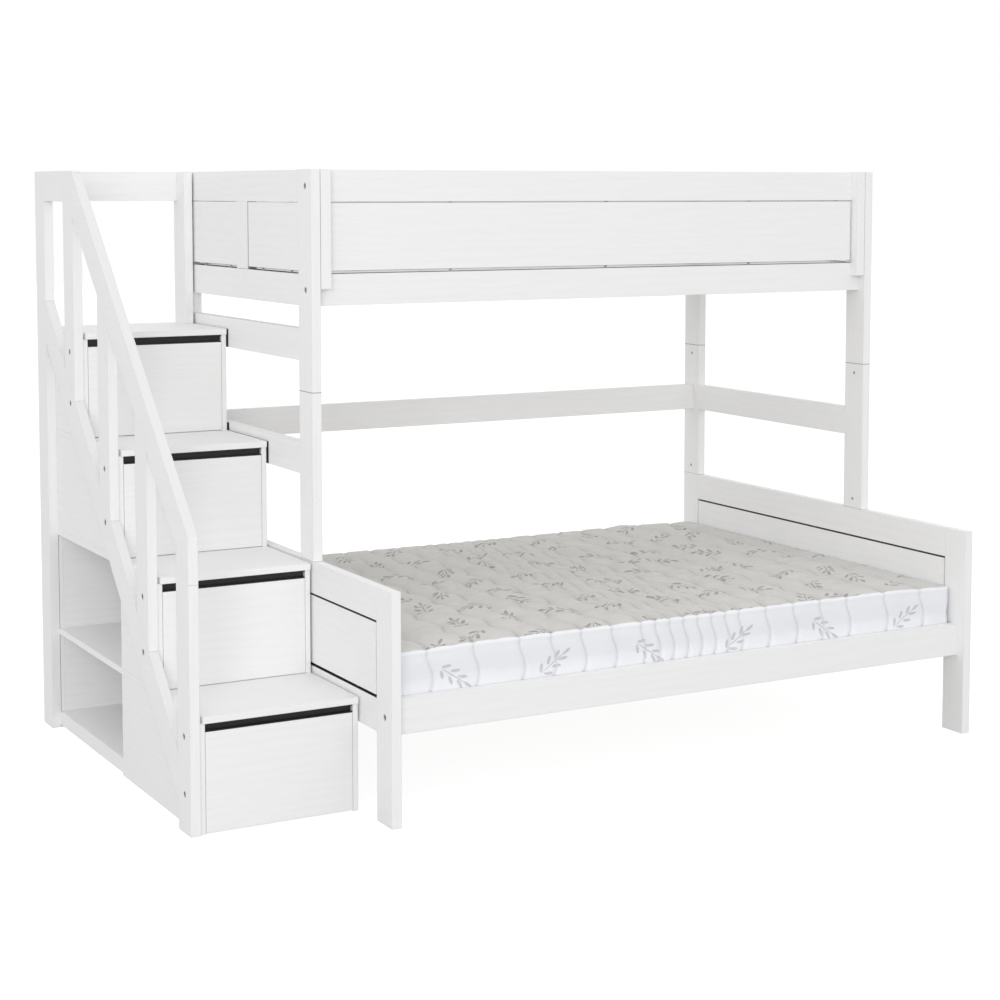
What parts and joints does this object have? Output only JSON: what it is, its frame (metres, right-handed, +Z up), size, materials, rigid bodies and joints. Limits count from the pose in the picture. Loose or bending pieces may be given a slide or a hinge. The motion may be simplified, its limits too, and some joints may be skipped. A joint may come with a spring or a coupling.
{
  "type": "bunk bed with storage stair",
  "caption": "Bunk bed with a wider lower bed, panelled guards and a side stair whose steps hold pull-out drawers and open side shelves.",
  "frame": {"origin": "centre of the whole footprint, on the floor", "axes": "+X along the beds from the stair to the foot end, +Y from the open front to the back, +Z up"},
  "size_m": [2.46, 1.527, 1.728],
  "materials": {
    "white_wood": "whitewashed, fine open grain, satin",
    "bare_wood": "pale, planed",
    "black_grip": "matt black",
    "mattress_cover": "quilted knit",
    "zinc_steel": "zinc plated",
    "spacer": "matt"
  },
  "bodies": {
    "frame": {"back_guard_panel": "white_wood", "back_guard_rails": "white_wood", "back_middle_rail": "white_wood", "barrel_nuts": "zinc_steel", "dowels": "bare_wood", "drawer_runners": "zinc_steel", "end_middle_rails": "white_wood", "extension_posts": "white_wood", "frame_bolts": "zinc_steel", "front_guard_panel": "white_wood", "front_guard_rails": "white_wood", "front_guard_stiles": "white_wood", "handrail": "white_wood", "landing_post": "white_wood", "left_low_rail": "white_wood", "lower_centre_beam": "bare_wood", "lower_end_bottom_rails": "white_wood", "lower_end_panels": "white_wood", "lower_end_top_rails": "white_wood", "lower_posts": "white_wood", "lower_side_rails": "white_wood", "lower_slats": "bare_wood", "mattress": "mattress_cover", "newel_post": "white_wood", "post_studs": "zinc_steel", "slat_ledges": "bare_wood", "stair_back_panels": "white_wood", "stair_back_post": "white_wood", "stair_back_rail": "white_wood", "stair_balusters": "white_wood", "stair_floor_board": "white_wood", "stair_left_boards": "white_wood", "stair_partitions": "white_wood", "stair_right_boards": "white_wood", "stair_side_rail": "white_wood", "stair_spacers": "spacer", "stair_top_post": "white_wood", "stringer": "white_wood", "tread_1": "white_wood", "tread_2": "white_wood", "tread_3": "white_wood", "tread_4": "white_wood", "upper_end_bottom_rails": "white_wood", "upper_end_mullions": "white_wood", "upper_end_panels": "white_wood", "upper_end_top_rails": "white_wood", "upper_posts": "white_wood", "upper_slats": "bare_wood"},
    "drawer_1": {"drawer_1_front": "white_wood", "drawer_1_box": "white_wood", "drawer_1_grip": "black_grip"},
    "drawer_2": {"drawer_2_front": "white_wood", "drawer_2_box": "white_wood", "drawer_2_grip": "black_grip"},
    "drawer_3": {"drawer_3_front": "white_wood", "drawer_3_box": "white_wood", "drawer_3_grip": "black_grip"},
    "drawer_4": {"drawer_4_front": "white_wood", "drawer_4_box": "white_wood", "drawer_4_grip": "black_grip"}
  },
  "joints": [
    {"name": "drawer_1_slide", "type": "slide", "parent": "frame", "child": "drawer_1", "axis": [0, -1, 0], "range_m": [0, 0.42]},
    {"name": "drawer_2_slide", "type": "slide", "parent": "frame", "child": "drawer_2", "axis": [0, -1, 0], "range_m": [0, 0.2]},
    {"name": "drawer_3_slide", "type": "slide", "parent": "frame", "child": "drawer_3", "axis": [0, -1, 0], "range_m": [0, 0.48]},
    {"name": "drawer_4_slide", "type": "slide", "parent": "frame", "child": "drawer_4", "axis": [0, -1, 0], "range_m": [0, 0.25]}
  ]
}
